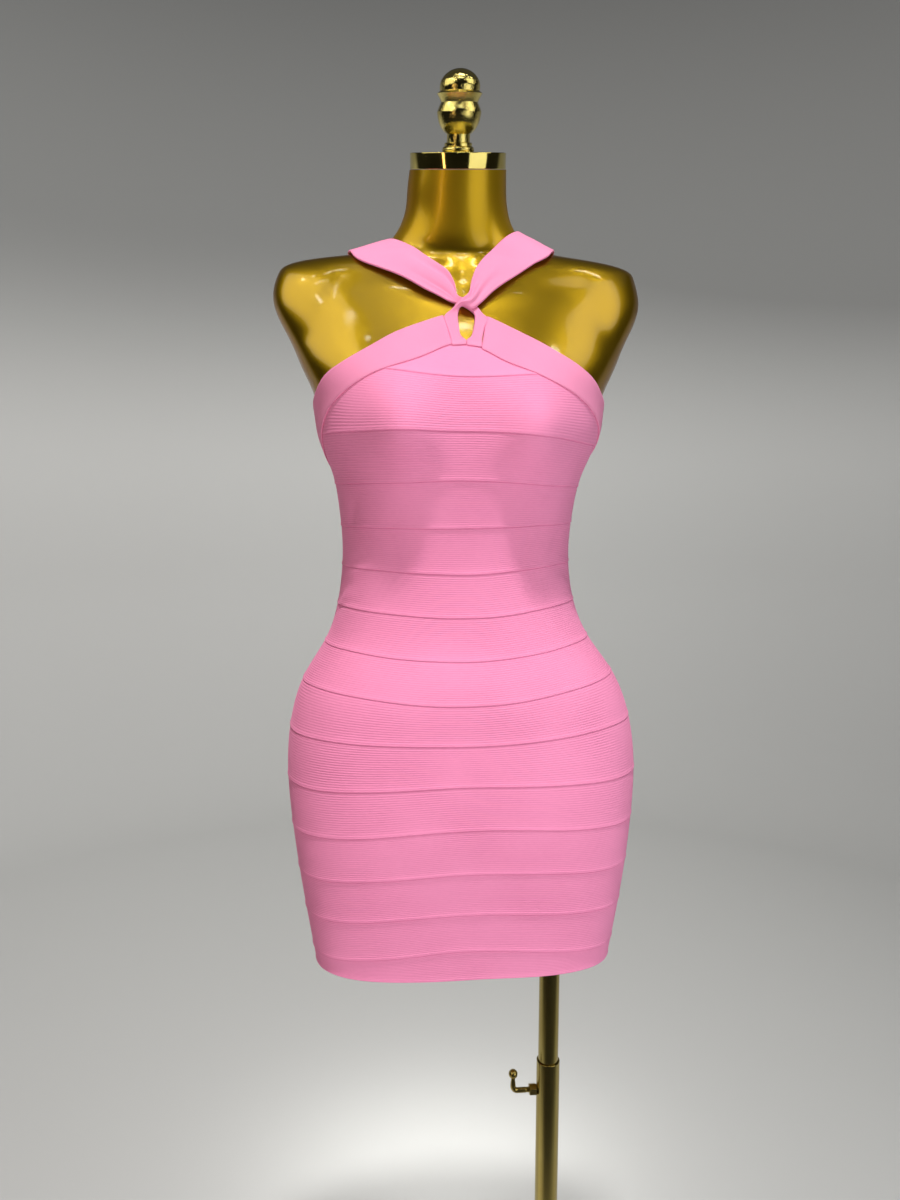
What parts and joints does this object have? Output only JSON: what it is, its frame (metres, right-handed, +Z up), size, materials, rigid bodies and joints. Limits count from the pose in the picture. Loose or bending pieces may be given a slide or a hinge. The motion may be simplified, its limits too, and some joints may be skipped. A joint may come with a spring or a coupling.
{
  "type": "bodycon dress on a dress form and stand",
  "caption": "Short bandage-knit bodycon dress with a twisted halter and keyhole neckline, worn by a limbless dress form on a telescopic clamp stand",
  "frame": {"origin": "on the floor, at the middle of the flat underside of the round base", "axes": "+Z up; the front of the dress faces -Y; +X is to the viewer's right"},
  "size_m": [0.361, 0.32, 1.6143],
  "materials": {
    "pink_knit": "matte",
    "pink_band": "matte",
    "gold_form": "gloss",
    "polished_brass": "polished",
    "pole_brass": "satin",
    "base_metal": "satin"
  },
  "bodies": {
    "stand": {"base_disc": "base_metal", "pole_socket": "pole_brass", "lower_tube": "pole_brass", "clamp_boss": "pole_brass"},
    "form": {"upper_tube": "pole_brass", "form_plate": "pole_brass", "form_torso": "gold_form", "neck_cap": "polished_brass", "finial": "polished_brass", "front_panel": "pink_knit", "back_panel": "pink_knit", "left_neckline_band": "pink_band", "right_neckline_band": "pink_band", "right_halter_strap": "pink_band", "left_halter_strap": "pink_band"},
    "clamp": {"clamp_screw": "pole_brass"}
  },
  "joints": [
    {"name": "height_slide", "type": "slide", "parent": "stand", "child": "form", "axis": [0, 0, 1], "range_m": [-0.14, 0.18]},
    {"name": "clamp_turn", "type": "hinge", "parent": "stand", "child": "clamp", "pos_m": [0.07, 0, 0.567], "axis": [1, 0, 0], "range_deg": [-90, 270]}
  ]
}
